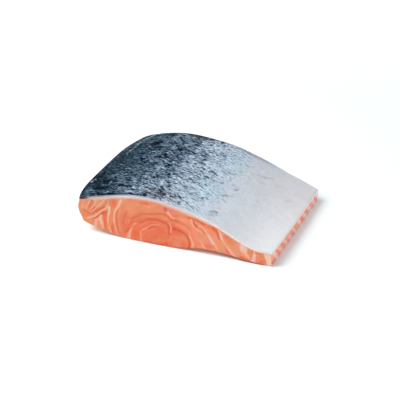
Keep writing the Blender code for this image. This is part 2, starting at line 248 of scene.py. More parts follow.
# Blotches of the skin, by mark: across, along, half width, half length, strength; then their core and rim
BLOTCHES = {
    # Dark blotches of the skin; those on the far lip are painted shade
    "dark": (
        (-70, -36, 4.5, 4.5, 0.7), (-82, -22, 3, 8, 0.6), (-70, -47, 8, 3.5, 0.6),
        (-57, -58.5, 18, 1.6, 0.9), (-38, -59, 6, 1.4, 1), (-50, -45.5, 7, 1.6, 0.9),
        (-48.3, -1.3, 3.5, 3, 0.7), (-42.5, -7, 4, 3, 0.7), (-40, -18.5, 6.5, 1.4, 0.9),
        (-30.8, -13, 1.8, 1.8, 0.8), (-37.5, 15, 1.8, 2.4, 0.8), (-40.4, 10, 1.8, 2, 0.7),
        (-30, 28.7, 4, 2.2, 1), (-19, 23.7, 2.4, 1.8, 1), (-23, 12, 3, 3, 0.9), (-25.4, 6.6, 2, 1.6, 0.9),
        (-28, 3.7, 2.4, 2, 0.8), (-26.7, -2, 2.6, 2, 0.8), (-32.5, 43, 3, 2, 0.8), (-39, 33.7, 2.6, 2, 0.7),
        (-21.7, 41.6, 2, 2, 1), (-55, 38, 5.5, 8, 0.6), (-50, 28.7, 5, 1.6, 0.7), (-48, 56, 6, 4, 0.6),
        (-70, 35.4, 2, 2, 0.5), (-25, 58.8, 10, 3, 1), (-15, -50.5, 5, 3, 0.8), (-4, -50.5, 2.4, 1.8, 1),
        (-11, -55.5, 2.4, 1.6, 0.8), (-26, -58.8, 3, 1.4, 0.8), (-10, -29.6, 3, 1.4, 0.8),
        (-12.5, -38, 2.2, 1.6, 0.9), (-40, -33, 3, 1.4, 0.8), (-30.4, -26.3, 2, 1.4, 0.8),
        (-49, -40, 1.6, 2, 0.8), (-6, 32.5, 2.8, 2.8, 0.8), (-3, 51.2, 1.4, 1.4, 0.8),
        (7.5, 37.9, 2.2, 2.4, 0.8), (-4.5, 22, 2, 3.4, 0.8), (7, 7, 2.2, 2.4, 0.8), (0, -48, 2.4, 1.6, 0.9),
        (5.8, -37, 1.8, 1.6, 0.8), (15.4, -35.5, 1.2, 2, 0.8), (-3.3, -2, 2.4, 1.6, 0.8),
        (6.7, -4.6, 3, 1.4, 0.7), (13.3, -4.6, 2.4, 1.4, 0.8), (20, -3.4, 2, 1.2, 0.6),
        (-8, 59.6, 12, 2, 0.7), (-44, 60, 10, 1.6, 0.5), (-28, 20, 7, 7, 0.35), (-25, -45.5, 7, 3, 0.3),
        (-36, 40, 7, 14, 0.3), (-58, 21, 8, 8, 0.25), (-8, 19, 6, 6, 0.3), (-1, -27, 5, 5, 0.25),
        (-19, 0, 5, 5, 0.25), (-37, 43, 6, 6, 0.2), (2, 35, 5, 5, 0.2), (-43, -14, 5, 5, 0.2),
        (16, -7, 5, 6, 0.15)),
    # Lighter patches of the skin, with small painted glints near the back and along the near cut
    "light": (
        (-36, -24, 7, 8, 0.35), (-64, -25, 8, 8, 0.35), (-80, -50, 5, 6, 0.25), (-43, -54.6, 5, 1.2, 0.9),
        (-60, -55.6, 4, 0.9, 0.7), (-71, -57.2, 2.4, 1, 1), (-85.4, -33, 1.2, 2.6, 1),
        (-84, -28, 0.9, 1.6, 0.8), (-78, -50, 1.4, 0.9, 0.8), (-74, -54.5, 1.8, 0.8, 0.8),
        (-80.5, -55, 1, 0.9, 0.9), (-66, -52, 2.2, 0.8, 0.6), (-58, -52.5, 2.2, 0.8, 0.7),
        (-51, -57, 2.6, 0.8, 0.9), (-64, -48, 1.6, 0.9, 0.5), (-83, -44, 0.9, 1.2, 0.8),
        (-77, -44.5, 1.2, 0.8, 0.5), (-36, -56.5, 4, 1.2, 0.7), (11.5, -22, 4, 5, 0.5), (14, -30, 4, 4, 0.5),
        (-20, -33, 5, 6, 0.4), (-8, 4, 5, 6, 0.4), (0, 16, 4, 5, 0.4), (-28, -40, 6, 3, 0.4),
        (3, 28, 4, 4, 0.4), (-46, 0, 3, 2, 0.3), (-36, -51, 9, 9, 0.6), (-78, -53, 7, 7, 0.4),
        (-73, 47, 7, 10, 0.4), (-38, -36, 8, 5, 0.4), (-12, -17, 6, 6, 0.35), (-61, -36, 8, 5, 0.35),
        (-79, -40, 4, 6, 0.2), (-14, 31, 4, 4, 0.25), (10, -54, 7, 7, 0.25), (-13, -54, 12, 6, 0.35)),
    "brown": (
        (-24, 58.4, 12, 3.4, 1), (-14, -52, 24, 10, 1), (-27, 29, 7, 5, 0.5), (-28, -3, 4, 4, 0.4),
        (28, 58.5, 20, 2.4, 0.6), (-50, -50, 10, 8, 0.4)),
    "violet": (
        (-24, 14, 8, 12, 0.8), (-27, 28, 8, 5, 0.5), (-20, 46, 10, 5, 0.3)),
    # Teal tints; the first is the colour of a painted glint at the near back corner
    "teal": (
        (-81.7, -50.5, 3, 2.6, 1), (-25, 50, 6, 4, 0.8), (16, -22, 11, 18, 0.8), (-66, -46, 9, 6, 0.5),
        (-46, -5, 7, 7, 0.5), (20, 32, 15, 20, 0.6), (-78, 2, 5, 14, 0.4))}
BLOTCH_EDGE = (0.35, 1.25)

# Soft grey streaks of the silver side, and a painted highlight along the crease near the back: strokes with
# points across and along
SKIN_STREAKS = (
    (0.3, 1.4, 2.2, 38.6, 33.4, 45, 37, 51, 40.2), (0.18, 1.6, 1.4, 34.2, 31, 39.4, 33),
    (0.2, 1.4, 2, 43, 25.2, 48.6, 27.2), (0.2, 2.2, 1.6, 69, 20.2, 72.6, 24),
    (0.8, 2.6, 2, 20.6, 15.6, 24.4, 18.4), (0.4, 1.4, 1.4, 28.2, 20.6, 30.2, 23),
    (0.75, 2, 1.8, 32.4, -3.2, 34.2, -0.6), (0.35, 1.4, 1, 32.6, -10.4, 33.8, -13.2),
    (0.65, 2, 1.8, 27, -19.2, 30.4, -16), (0.6, 1.6, 2, 29, -23.2, 32.6, -25.6),
    (0.75, 2, 1.6, 27.2, -46.6, 32, -45.4), (0.6, 1.6, 2, 26.4, -49.2, 32.6, -48),
    (0.45, 1.4, 1.6, 28.8, -52.2, 32, -51.6), (0.3, 0.9, 0.9, 51.6, -1.8, 51.8, -0.4),
    (0.25, 0.8, 0.8, 66.4, -31.6, 66.9, -30.2), (0.22, 1, 1, 52, 12.6, 54.6, 14.4),
    (0.22, 1.2, 1, 56, 34, 60, 36.4), (0.25, 1.6, 1.2, 26, 47, 31.6, 50.6),
    (0.2, 1, 1, 40, -34, 42.4, -32.6))
STREAK_SOFTNESS = 0.9
CREASE_HIGHLIGHT = (1, 1.8, 3.4, -76, 20, -74.6, 32, -73.4, 42, -71.4, 49, -67.4, 56, -62, 60.5)
CREASE_HIGHLIGHT_SOFTNESS = 1.3

# Grids: cells of the coarse blocks, then how many cuts go through each cell of some faces
FLESH_CELLS = (72, 30, 14)
FLESH_CUTS = 2
NEAR_FACE_CUTS = 1
SKIN_CELLS = (64, 44, 1)
SKIN_CUTS = 4
HALF_CUBE = 0.5
ON_FACE = 1e-6
CURVE_STEPS = 16
NOISE_STEPS = (17.3, 5.1, 9.7)

# Relief of the flesh; a wave has a depth, a size and a seed
SEAM_DEPTH = 0.35
SEAM_HALF_WIDTHS = (0.2, 1.4)
SHADE_DEPTH = 0.1
FIBRE_DEPTH = 0.12
FOOT_ROUND = 1.1
FLAKE_WAVE = (1.2, 14.0, 1)
FIBRE_WAVE = (FIBRE_DEPTH / 2, 2.6, 4)
STROKE_WAVE = (0.35, 5.0, 2)
FAR_CORE_RINGS = (0.5, 1.2)
PROBE = 0.5
LEAST_SLOPE = 0.02

# Pale fat and sheath between flesh and skin: thickness, and the places across where each starts and ends
FAT_THIN = 1.2
FAT_THICK = 2.2
SIDE_FAT_THICK = 3.4
LOIN_FAT_REACH = (-76.0, -66.0, -14.0, 2.0)
SIDE_FAT_REACH = (-14.0, -4.0, 22.0, 42.0)
FAT_START = (-76.0, -71.0)
FAT_FADE = (0.25, 1.0)
SHEATH_START = (-76.0, -68.0)
SHEATH_FADE = (0.4, 1.5)

# Relief of the skin
SCALE_ACROSS = 4.2
SCALE_ALONG = 5.4
SCALE_LIFT = 0.16
SCALE_RAMP = 1.8
SCALE_ARC = 0.85
SCALE_RIM = (0.0, 2.0)
SCALE_FADE = 0.75
SCALE_FADE_REACH = (5.0, 40.0)
SCALE_WAVES = ((0.4, 22.0, 5), (0.3, 4.5, 8))
RIPPLE_WAVE = (0.25, 9.0, 7)
RIPPLE_RIM = (0.0, 4.0)
LIP_ROUND = 0.7
LIP_DROP = 0.6
LIP_REACH = (0.4, 1.8)
BLOTCH_WAVE = (1.2, 5.0, 10)

# Places of the colour sockets on a Mix node, and the gain that brings a noise texture to about 1 either way
MIX_INPUTS = (0, 6, 7)
MIX_OUTPUT = 2
CLOUD_GAIN = 3.2

# Dashes of the skin's pattern and how far they lean
SPECK_ACROSS = 3.3
SPECK_ALONG = 2.5
SPECK_NARROWNESS_ACROSS = 5.0
SPECK_NARROWNESS_ALONG = 12.0
LEAN = 0.25

# Camera and light
CAMERA_LENS = 135.0
CAMERA_AZIMUTH = 21.38
CAMERA_ELEVATION = 27.92
CAMERA_DISTANCE = 1.2999
CAMERA_AIM = (-9.96, 24.38, 0.0)
DOME_STRENGTH = 0.42
KEY_LIGHT = ((-0.85, -0.42, 1.15), 1.25, 25.8)
FILL_LIGHT = ((1.25, -0.6, 0.18), 0.4, 6.3)
FLOOR_HALF_SIZE = 3.0
FLOOR_GLOW = 0.08
FLOOR_FAR_GLOW = 0.22
FLOOR_FAR = (250.0, 600.0)

# Colours: three numbers are what a screen shows, four are linear, one is a linear grey
FLOOR_COLOUR = (0.86, 0.93, 0.96, 1.0)
FLOOR_FAR_COLOUR = 0.96
SKIN_DIMMING = 0.98
FLESH_DIMMING = (0.865, 0.825, 0.805, 1.0)
BELLY_DIMMING = (0.89, 0.87, 0.88, 1.0)

# Flesh colours by the share from the back to the belly
FLESH_SHADES = ((0.0, (228, 142, 100)), (0.14, (225, 141, 100)), (0.25, (226, 124, 86)),
                (0.40, (228, 110, 70)), (0.56, (230, 118, 78)), (0.66, (243, 151, 115)),
                (0.80, (229, 152, 121)), (0.92, (234, 144, 110)), (1.0, (234, 148, 118)))

# Skin colours by tone; then the tone and its contrast by the share from the back to the belly
SKIN_SHADES = ((0.03, (5, 11, 21)), (0.12, (14, 31, 49)), (0.25, (46, 64, 79)), (0.36, (72, 93, 109)),
               (0.50, (111, 130, 149)), (0.66, (154, 172, 190)), (0.80, (198, 206, 216)),
               (0.86, (215, 217, 222)), (0.92, (229, 229, 231)), (1.0, (240, 241, 242)))
SKIN_TONES = ((0.0, 0.12), (0.06, 0.13), (0.13, 0.18), (0.22, 0.27), (0.30, 0.36), (0.38, 0.375),
              (0.46, 0.53), (0.56, 0.675), (0.64, 0.75), (0.74, 0.81), (0.86, 0.835), (1.0, 0.87))
SKIN_CONTRASTS = ((0.0, 0.22), (0.15, 0.26), (0.30, 0.30), (0.44, 0.34), (0.52, 0.26), (0.60, 0.155),
                  (0.66, 0.065), (0.74, 0.025), (1.0, 0.012))


def smooth_step(low, high, value):
    """0 below low, 1 above high, smooth between."""
    share = np.clip((value - low) / (high - low), 0.0, 1.0)
    return share * share * (3.0 - 2.0 * share)


def plateau(value, low, full, fade, gone):
    """0 outside a stretch, 1 on its middle, smooth at both ends."""
    return smooth_step(low, full, value) * (1 - smooth_step(fade, gone, value))


def soft_min(a, b, width):
    """The smaller of two values with their meeting rounded."""
    share = np.clip(0.5 + 0.5 * (b - a) / width, 0.0, 1.0)
    return b + (a - b) * share - width * share * (1.0 - share)


def round_off(radius, distance):
    """How far a rounded edge lies inside the sharp one, by the distance from it."""
    gap = radius - np.clip(distance, 0.0, radius)
    return radius - np.sqrt(radius ** 2 - gap ** 2)


def curve_through(stations, place):
    """Heights at places on a smooth curve through the stations."""
    xs, zs = np.array(stations, dtype=float).T
    slopes = np.empty(len(xs))
    slopes[1:-1] = (zs[2:] - zs[:-2]) / (xs[2:] - xs[:-2])
    slopes[0] = (zs[1] - zs[0]) / (xs[1] - xs[0])
    slopes[-1] = (zs[-1] - zs[-2]) / (xs[-1] - xs[-2])
    index = np.clip(np.searchsorted(xs, place) - 1, 0, len(xs) - 2)
    step = xs[index + 1] - xs[index]
    t = (place - xs[index]) / step
    level = zs[index] * (1 + 2 * t) * (1 - t) ** 2 + zs[index + 1] * t * t * (3 - 2 * t)
    return level + step * (slopes[index] * t * (1 - t) ** 2 - slopes[index + 1] * t * t * (1 - t))


def back_edge(side):
    """Place of the back edge of the skin, side -1 at the near cut and 1 at the far cut."""
    middle = (BACK_EDGE_X_NEAR + BACK_EDGE_X_FAR) / 2
    bow = BACK_EDGE_BOW * (1 - side ** BACK_EDGE_SQUARENESS)
    return middle + side * (BACK_EDGE_X_FAR - BACK_EDGE_X_NEAR) / 2 - bow


def belly_edge(side):
    """Place of the belly edge."""
    return BELLY_X + BELLY_BOW * (1 - side * side)


def crown(across, side):
    """Height of the skin's outer face, across 0 at the back edge and 1 at the belly edge."""
    blend = (side + 1) / 2
    heights = []
    for stations in (NEAR_CROWN, FAR_CROWN):
        first = stations[0][0]
        heights.append(curve_through(stations, first + across * (stations[-1][0] - first)))
    swell = SWELL * (1 - side * side) * np.sin(pi * np.minimum(across * SWELL_REACH, 1.0))
    return heights[0] * (1 - blend) + heights[1] * blend + swell


def crown_below(across, side, depth):
    """Height of the face that lies a depth under the skin's outer face, square to it."""
    width = belly_edge(side) - back_edge(side)
    low = np.maximum(across - SLOPE_STEP, 0.0)
    high = np.minimum(across + SLOPE_STEP, 1.0)
    slope = (crown(high, side) - crown(low, side)) / ((high - low) * width)
    return crown(across, side) - depth * np.sqrt(1 + slope * slope)


def foot(x, side):
    """Height of the underside, flat but for the lift towards the back and the arch at the near cut."""
    run = np.maximum(LIFT_START_X - x, 0.0) / (LIFT_START_X - BACK_EDGE_X_NEAR - BACK_FOOT_INSET)
    middle, half_width, height = FOOT_ARCH
    inwards = (side + 1) * LENGTH / 2
    arch = height * np.maximum(1 - ((x - middle) / half_width) ** 2, 0.0) ** 2
    return BACK_FOOT_HEIGHT * run * run + arch * (1 - smooth_step(0.0, FOOT_ARCH_REACH, inwards))


def cut_place(x, side):
    """Place along the fish, with the swelling of the cut faces out of their flat planes."""
    swelling = sum(depth * np.exp(-((x - middle) / half_width) ** 2)
                   for middle, half_width, depth in (LOIN_BULGE, FLANK_BULGE))
    return side * (LENGTH / 2 + swelling)


def ring_count(rings, radius):
    """Number of the ring at a radius, with its share of the step to the next."""
    rings = np.array(rings, dtype=float)
    beyond = (radius - rings[-1]) / (rings[-1] - rings[-2])
    return np.interp(radius, rings, np.arange(len(rings))) + np.maximum(beyond, 0.0)


def loin_phase(x, z):
    """Rings of the upper muscle, leaning over towards the belly further out."""
    across = x - LOIN_AXIS[0]
    up = z - LOIN_AXIS[1]
    lean = LOIN_LEAN * smooth_step(*LOIN_LEAN_RADII, np.hypot(across, up)) * up
    return ring_count(LOIN_RINGS, np.hypot(across - lean, LOIN_SQUASH * up))


def belly_phase(x, z):
    """Rings of the lower muscle, drawn out into slanting lines towards the belly."""
    across = x - BELLY_AXIS[0]
    up = z - BELLY_AXIS[1]
    shear = BELLY_SHEAR * smooth_step(*BELLY_SHEAR_REACH, across)
    height = 1.0 - BELLY_FLATTENING * smooth_step(*BELLY_FLATTENING_REACH, across)
    return ring_count(BELLY_RINGS, np.hypot(across + shear * up, height * up))


def flake_phase(x, y, z):
    """Counts the flakes outward from the axes of the muscles, and along the fish."""
    fan = FAN_FIRST_RING + np.hypot((x - FAN_AXIS[0]) / FAN_STRETCH, z - FAN_AXIS[1]) / FAN_PITCH
    main = soft_min(loin_phase(x, z), belly_phase(x, z), SEAM_ROUND)
    return soft_min(fan, main, FAN_SEAM_ROUND) + (y + LENGTH / 2) / FLAKE_PITCH


def wave(points, depth, size, seed):
    """Smooth noise as deep as depth either way, with lumps of a size in millimetres."""
    offset = Vector([seed * step for step in NOISE_STEPS])
    return depth * np.array([noise.noise(Vector(point) / size + offset) for point in points])


def waved(points, axes, depth, size, seed):
    """Places along two axes, each with a slight wave of its own."""
    return [points[:, axis] + wave(points, depth, size, seed + turn) for turn, axis in enumerate(axes)]


def block(cells_x, cells_y, cells_z):
    """A closed cube from 0 to 1 on each axis, cut into cells."""
    mesh = bmesh.new()
    bmesh.ops.create_cube(mesh, size=1.0, matrix=Matrix.Translation((HALF_CUBE, HALF_CUBE, HALF_CUBE)))
    for axis, cells in enumerate((cells_x, cells_y, cells_z)):
        along = [edge for edge in mesh.edges if abs((edge.verts[1].co - edge.verts[0].co)[axis]) > HALF_CUBE]
        if cells > 1:
            bmesh.ops.subdivide_edges(mesh, edges=along, cuts=cells - 1, use_grid_fill=True)
    return mesh


def refine(mesh, wanted, cuts):
    """Cuts the cells of the wanted faces finer."""
    faces = [face for face in mesh.faces if wanted(face.calc_center_median())]
    edges = list({edge for face in faces for edge in face.edges})
    bmesh.ops.subdivide_edges(mesh, edges=edges, cuts=cuts, use_grid_fill=True)


def shares_of(mesh):
    """The shares across, along and up of the vertices of the cube of cells."""
    return np.array([vertex.co for vertex in mesh.verts]).T


def place_vertices(mesh, x, y, z):
    """Puts the vertices at places in millimetres."""
    for vertex, point in zip(mesh.verts, np.stack([x + SHIFT_X, y, z], axis=1)):
        vertex.co = Vector(point) * MM


def add_object(name, data):
    """Adds an object to the scene."""
    item = bpy.data.objects.new(name, data)
    bpy.context.scene.collection.objects.link(item)
    return item


def add_mesh(name, mesh, finish):
    """Makes the object of a finished mesh."""
    data = bpy.data.meshes.new(name)
    mesh.to_mesh(data)
    mesh.free()
    data.materials.append(finish)
    return add_object(name, data)


def add_piece(name, mesh, finish, marks, node):
    """Makes a piece of the fillet, with its marks as point attributes."""
    bmesh.ops.recalc_face_normals(mesh, faces=mesh.faces)
    for face in mesh.faces:
        face.smooth = True
    piece = add_mesh(name, mesh, finish)
    for label, values in marks.items():
        kind, field = ("FLOAT", "value") if values.ndim == 1 else ("FLOAT_VECTOR", "vector")
        attribute = piece.data.attributes.new(label, kind, "POINT")
        attribute.data.foreach_set(field, values.astype(np.float32).ravel())
    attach(piece, "root")
    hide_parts(node)


def dense_curve(points):
    """Points close together on a smooth curve through a few points."""
    points = np.array(points, dtype=float)
    ends = np.vstack([2 * points[0] - points[1], points, 2 * points[-1] - points[-2]])
    out = []
    for a, b, c, d in zip(ends[:-3], ends[1:-2], ends[2:-1], ends[3:]):
        for t in np.linspace(0, 1, CURVE_STEPS, endpoint=False):
            out.append(0.5 * (2 * b + (c - a) * t + (2 * a - 5 * b + 4 * c - d) * t ** 2
                              + (3 * b - a - 3 * c + d) * t ** 3))
    out.append(points[-1])
    return np.array(out)


def stroke_marks(x, z, strokes, softness):
    """How strongly each place lies on one of the strokes."""
    total = np.zeros(len(x))
    for strength, start_width, end_width, *places in strokes:
        line = dense_curve(np.reshape(places, (-1, 2)))
        gaps = np.hypot(x[:, None] - line[None, :, 0], z[:, None] - line[None, :, 1])
        share = gaps.argmin(axis=1) / (len(line) - 1)
        half = (start_width + (end_width - start_width) * share) / 2
        mark = strength * (1 - smooth_step(half - softness, half + softness, gaps.min(axis=1)))
        total = np.maximum(total, mark)
    return total


def patch_marks(x, z, patches, edge):
    """How strongly each place lies in one of the round patches, full to the core and gone at the rim."""
    total = np.zeros(len(x))
    for middle_x, middle_z, half_width, half_height, strength in patches:
        radius = np.hypot((x - middle_x) / half_width, (z - middle_z) / half_height)
        total = np.maximum(total, strength * (1 - smooth_step(*edge, radius)))
    return total


def flesh_marks(points, on_near, on_belly):
    """Marks of the strokes and patches drawn on the near cut and on the belly's side."""
    marks = {label: np.zeros(len(points)) for label in (*STROKES, *PATCHES)}
    near = waved(points[on_near], (0, 2), *STROKE_WAVE)
    aside = waved(points[on_belly], (1, 2), *STROKE_WAVE)
    for label, (softness, near_strokes, belly_strokes) in STROKES.items():
        mark = marks[label]
        mark[on_near] = stroke_marks(*near, near_strokes, softness)
        mark[on_belly] = np.maximum(mark[on_belly], stroke_marks(*aside, belly_strokes, softness))
    for label, patches in PATCHES.items():
        marks[label][on_near] = patch_marks(*near, patches, PATCH_EDGE)
    return marks


def flesh_piece(finish):
    """The muscle with its seams, fibres and softened foot."""
    mesh = block(*FLESH_CELLS)
    refine(mesh, lambda middle: middle.z < 1 - ON_FACE, FLESH_CUTS)
    refine(mesh, lambda middle: middle.y < ON_FACE, NEAR_FACE_CUTS)
    across, along, high = shares_of(mesh)
    side = 2 * along - 1
    left = back_edge(side) + BACK_FOOT_INSET * (1 - high) - BACK_ROUND * np.sin(pi * high)
    x = left + across * (belly_edge(side) - left)
    top = crown_below(across, side, SKIN)
    low = foot(x, side)
    z = low + (top - low) * high
    y = cut_place(x, side)
    points = np.stack([x, y, z], axis=1)

    on_near = along < ON_FACE
    on_far = along > 1 - ON_FACE
    on_back = across < ON_FACE
    on_belly = across > 1 - ON_FACE
    under = (high < ON_FACE) & ~on_near & ~on_far
    drawn = on_near | on_belly
    warp = wave(points, *FLAKE_WAVE)
    phase = flake_phase(x + warp, y, z + warp)
    slope_x = (flake_phase(x + warp + PROBE, y, z + warp) - phase) / PROBE
    slope_z = (flake_phase(x + warp, y, z + warp + PROBE) - phase) / PROBE
    slope_y = np.where(on_near | on_far, 0.0, 1 / FLAKE_PITCH)
    pitch = 1 / np.maximum(np.sqrt(slope_x ** 2 + slope_y ** 2 + slope_z ** 2), LEAST_SLOPE)
    seam = 1 - smooth_step(*SEAM_HALF_WIDTHS, np.abs(phase - np.round(phase)) * pitch)
    far_lines = smooth_step(*FAR_CORE_RINGS, phase - LENGTH / FLAKE_PITCH)
    lines = np.where(on_far, far_lines, np.where(drawn, 0.0, 1.0))

    marks = flesh_marks(points, on_near, on_belly)
    inward = SEAM_DEPTH * np.where(drawn, marks["pale"], seam * lines) + SHADE_DEPTH * marks["deep"]
    inward += FIBRE_DEPTH / 2 + wave(points, *FIBRE_WAVE)
    inward_low = inward + round_off(FOOT_ROUND, z - low)
    y = y + np.where(on_near, inward_low, 0) - np.where(on_far, inward_low, 0)
    z = z + np.where(under, inward, 0)
    place_vertices(mesh, x + np.where(on_back, inward, 0) - np.where(on_belly, inward_low, 0), y, z)

    loin = (FAT_THICK - FAT_THIN) * plateau(x, *LOIN_FAT_REACH)
    side_fat = (SIDE_FAT_THICK - FAT_THIN) * plateau(x, *SIDE_FAT_REACH)
    fat = 1 - smooth_step(*FAT_FADE, (top - z) / (FAT_THIN + loin + side_fat))
    sheath = 1 - smooth_step(*SHEATH_FADE, top - z)
    marks.update(flake=phase, pitch=pitch, lines=lines, fat=fat * smooth_step(*FAT_START, x),
                 sheath=sheath * smooth_step(*SHEATH_START, x), belly=np.where(on_belly, 1.0, 0.0))
    add_piece("muscle", mesh, finish, marks, "flesh")


def scale_parts(a, b, floor):
    """Row and number of the scale at a place of the lattice, distance to its free edge, place across it.

    It works on numbers and on shader values alike. Rows lie half a step apart and
    each row is set off by half a scale; a scale's free edge is an arc.
    """
    row = floor(b * 2)
    rest = b * 2 - row
    arcs = []
    places = []
    for ahead in (0, 1):
        shifted = a + (row + ahead) * 0.5
        local = (shifted - floor(shifted)) * 2 - 1
        places.append(local)
        arcs.append((1 - local * local) * SCALE_ARC)
    inside = rest < arcs[0]
    outside = 1 - inside
    row = row + outside
    to_edge = inside * (arcs[0] - rest) + outside * (arcs[1] + 1 - rest)
    local = inside * places[0] + outside * places[1]
    number = floor(a + row * 0.5)
    return row, number, to_edge, local


def skin_piece(finish):
    """The skin with its rows of scales and its soft cut lip."""
    mesh = block(*SKIN_CELLS)
    refine(mesh, lambda middle: middle.z > ON_FACE, SKIN_CUTS)
    across, along, high = shares_of(mesh)
    side = 2 * along - 1
    left = back_edge(side)
    width = belly_edge(side) - left
    x = left + across * width
    y = cut_place(x, side)
    z = crown_below(across, side, SKIN * (1 - high))
    points = np.stack([x, y, z], axis=1)

    a, b = x / SCALE_ACROSS, -y / SCALE_ALONG
    for depth, size, seed in SCALE_WAVES:
        a = a + wave(points, depth, size, seed)
        b = b + wave(points, depth, size, seed + 1)
    to_edge = scale_parts(a, b, np.floor)[2]
    on_top = high > 1 - ON_FACE
    to_rim = np.minimum(np.minimum(across, 1 - across) * width, (1 - np.abs(side)) * LENGTH / 2)
    lift = SCALE_LIFT * (1 - np.clip(to_edge / SCALE_RAMP, 0, 1)) * smooth_step(*SCALE_RIM, to_rim)
    relief = (lift - SCALE_LIFT) * (1 - SCALE_FADE * smooth_step(*SCALE_FADE_REACH, x))
    relief += wave(points, *RIPPLE_WAVE) * smooth_step(*RIPPLE_RIM, to_rim)
    relief -= LIP_DROP * round_off(LIP_ROUND, to_rim)
    place_vertices(mesh, x, y, z + np.where(on_top, relief, 0.0))

    wavy = waved(points, (0, 1), *BLOTCH_WAVE)
    marks = {label: patch_marks(*wavy, blotches, BLOTCH_EDGE) for label, blotches in BLOTCHES.items()}
    marks.update(scale_place=np.stack([a, b, np.zeros(len(a))], axis=1), rim=np.where(on_top, 0.0, 1.0),
                 depth=1 - high, lip=1 - smooth_step(*LIP_REACH, (1 + side) * LENGTH / 2),
                 crease=stroke_marks(x, y, (CREASE_HIGHLIGHT,), CREASE_HIGHLIGHT_SOFTNESS),
                 streak=stroke_marks(*wavy, SKIN_STREAKS, STREAK_SOFTNESS))
    add_piece("scaled_skin", mesh, finish, marks, "skin")


def linear(shade):
    """A linear colour from a grey level, from the three numbers that a screen shows, or as it is."""
    if isinstance(shade, float):
        return (shade, shade, shade, 1.0)
    if len(shade) == 4:
        return shade
    shares = [value / 255 for value in shade]
    return tuple(((v + 0.055) / 1.055) ** 2.4 if v > 0.04045 else v / 12.92 for v in shares) + (1.0,)


class Value:
    """A shader socket that Python maths can be written on."""

    def __init__(self, look, socket):
        self.look = look
        self.socket = socket

    def maths(self, operation, *others, clamp=False):
        return self.look.node("Math", (self, *others), operation=operation, use_clamp=clamp)

    def __add__(self, other):
        return self.maths("ADD", other)

    def __sub__(self, other):
        return self.maths("SUBTRACT", other)

    def __rsub__(self, other):
        return self.look.node("Math", (other, self), operation="SUBTRACT")

    def __mul__(self, other):
        return self.maths("MULTIPLY", other)

    def __truediv__(self, other):
        return self.maths("DIVIDE", other)

    def __rtruediv__(self, other):
        return self.look.node("Math", (other, self), operation="DIVIDE")

    def __lt__(self, other):
        return self.maths("LESS_THAN", other)

    def __abs__(self):
        return self.maths("ABSOLUTE")

    __radd__ = __add__
    __rmul__ = __mul__

    def floor(self):
        return self.maths("FLOOR")

    def rounded(self):
        return self.maths("ROUND")

    def high(self, other):
        return self.maths("MAXIMUM", other)

    def clamped(self):
        return self.maths("ADD", 0.0, clamp=True)


